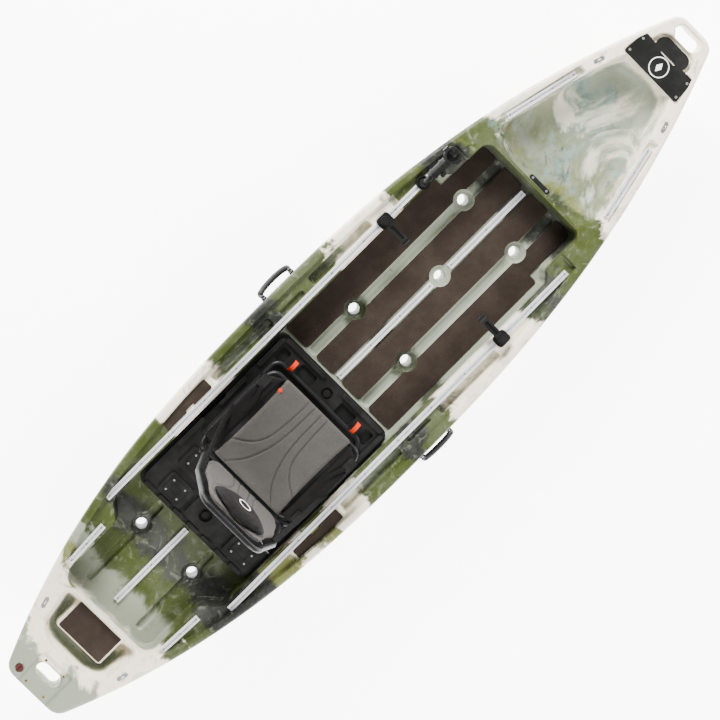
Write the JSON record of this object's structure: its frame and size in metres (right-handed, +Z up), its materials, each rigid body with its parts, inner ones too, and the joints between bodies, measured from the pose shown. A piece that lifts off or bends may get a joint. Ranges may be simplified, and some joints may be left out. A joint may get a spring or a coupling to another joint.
{
  "type": "fishing kayak",
  "caption": "Sit-on-top fishing kayak: hollow moulded hull with open deck, scuppers, gear tracks, foam mats and a framed mesh seat on a seat box.",
  "frame": {"origin": "middle of the overall box, on the ground under the keel", "axes": "+X towards the bow, +Y towards port, +Z up"},
  "size_m": [3.7, 0.9692, 0.9423],
  "materials": {
    "hull_plastic": "rotomoulded polyethylene, swirled olive, slate and cream",
    "foam": "closed-cell foam with fine parallel grooves",
    "track_aluminium": "bright anodised",
    "screw_steel": "stainless, satin",
    "black_plastic": "moulded, fine texture",
    "box_plastic": "rotomoulded, satin",
    "badge_white": "printed",
    "plug_plastic": "moulded",
    "insert_brass": "dull",
    "black_rubber": "soft grip",
    "frame_tube": "gloss black powder coat",
    "seat_mesh": "woven mesh",
    "seat_fabric": "padded nylon",
    "webbing": "woven strap",
    "orange_webbing": "woven strap",
    "orange_plastic": "moulded",
    "bungee": "braided, flecked white"
  },
  "bodies": {
    "hull_assembly": {"hull": "hull_plastic", "deck_mat_inner_port": "foam", "deck_mat_inner_starboard": "foam", "deck_mat_outer_port": "foam", "deck_mat_outer_starboard": "foam", "stern_mat": "foam", "gunwale_mat_port": "foam", "gunwale_mat_starboard": "foam", "side_track_port": "track_aluminium", "side_track_starboard": "track_aluminium", "centre_track_aft": "track_aluminium", "centre_track_mid": "track_aluminium", "centre_track_fore": "track_aluminium", "rear_track_port": "track_aluminium", "rear_track_starboard": "track_aluminium", "bow_track_port": "track_aluminium", "bow_track_starboard": "track_aluminium", "track_screws": "screw_steel", "bow_plate": "black_plastic", "bow_plate_screws": "screw_steel", "bow_badge": "badge_white", "bulkhead_strap": "black_plastic", "bulkhead_screws": "screw_steel", "stern_inserts": "insert_brass", "pad_eyes": "screw_steel", "pad_eye_screws": "screw_steel", "handle_brackets": "black_plastic", "handle_bracket_screws": "screw_steel", "seat_box": "box_plastic", "seat_box_plates": "black_plastic", "seat_box_screws": "screw_steel", "bungee_loop": "bungee"},
    "seat": {"seat_frame": "frame_tube", "seat_sling": "seat_mesh", "seat_bolster_port": "seat_fabric", "seat_bolster_starboard": "seat_fabric", "recline_straps": "webbing", "strap_buckles": "black_plastic", "pull_straps": "orange_webbing", "pull_toggle": "orange_plastic"},
    "backrest": {"back_frame": "frame_tube", "back_panel": "seat_mesh", "head_pocket": "seat_fabric", "back_badge": "badge_white"},
    "handle_port": {"side_handle_port": "black_rubber"},
    "handle_starboard": {"side_handle_starboard": "black_rubber"},
    "rest_port": {"rest_base_port": "black_plastic"},
    "rest_starboard": {"rest_base_starboard": "black_plastic"},
    "arm_port": {"rest_arm_port": "black_plastic"},
    "arm_starboard": {"rest_arm_starboard": "black_plastic"},
    "holder_foot": {"holder_base": "black_plastic"},
    "holder": {"holder_body": "black_plastic"},
    "holder_clamp_knob": {"holder_knob": "black_plastic"},
    "plug": {"drain_plug": "plug_plastic"},
    "bolt_rear": {"hold_down_bolt_rear": "black_plastic"},
    "bolt_front": {"hold_down_bolt_front": "black_plastic"}
  },
  "joints": [
    {"name": "seat_slide", "type": "slide", "parent": "hull_assembly", "child": "seat", "axis": [1, 0, 0], "range_m": [-0.025, 0.025]},
    {"name": "back_recline", "type": "hinge", "parent": "seat", "child": "backrest", "pos_m": [-0.686, 0, 0.488], "axis": [0, 1, 0], "range_deg": [-12, 80]},
    {"name": "handle_port_swing", "type": "hinge", "parent": "hull_assembly", "child": "handle_port", "pos_m": [-0.024, 0.451, 0.288], "axis": [1, 0, 0], "range_deg": [0, 130]},
    {"name": "handle_starboard_swing", "type": "hinge", "parent": "hull_assembly", "child": "handle_starboard", "pos_m": [-0.024, -0.451, 0.288], "axis": [-1, 0, 0], "range_deg": [0, 130]},
    {"name": "rest_port_slide", "type": "slide", "parent": "hull_assembly", "child": "rest_port", "axis": [1, 0, 0], "range_m": [-0.3, 0.04]},
    {"name": "rest_starboard_slide", "type": "slide", "parent": "hull_assembly", "child": "rest_starboard", "axis": [1, 0, 0], "range_m": [-0.3, 0.2]},
    {"name": "arm_port_swivel", "type": "hinge", "parent": "rest_port", "child": "arm_port", "pos_m": [0.454, 0.33, 0.36], "axis": [0, 0, 1], "range_deg": [-90, 90]},
    {"name": "arm_starboard_swivel", "type": "hinge", "parent": "rest_starboard", "child": "arm_starboard", "pos_m": [0.454, -0.33, 0.36], "axis": [0, 0, 1], "range_deg": [-90, 90]},
    {"name": "holder_slide", "type": "slide", "parent": "hull_assembly", "child": "holder_foot", "axis": [1, 0, 0], "range_m": [-0.1, 0.02]},
    {"name": "holder_swivel", "type": "hinge", "parent": "holder_foot", "child": "holder", "pos_m": [0.666, 0.33, 0.36], "axis": [0, 0, 1], "range_deg": [-100, 100]},
    {"name": "holder_knob_turn", "type": "hinge", "parent": "holder", "child": "holder_clamp_knob", "pos_m": [0.744, 0.33, 0.3725], "axis": [0, 1, 0], "continuous": true},
    {"name": "drain_plug_turn", "type": "hinge", "parent": "hull_assembly", "child": "plug", "pos_m": [-1.808, 0.104, 0.34], "axis": [0, 0, 1], "continuous": true},
    {"name": "bolt_rear_turn", "type": "hinge", "parent": "hull_assembly", "child": "bolt_rear", "pos_m": [-0.872, 0, 0.25], "axis": [0, 0, 1], "continuous": true},
    {"name": "bolt_front_turn", "type": "hinge", "parent": "hull_assembly", "child": "bolt_front", "pos_m": [-0.19, 0, 0.25], "axis": [0, 0, 1], "continuous": true}
  ]
}
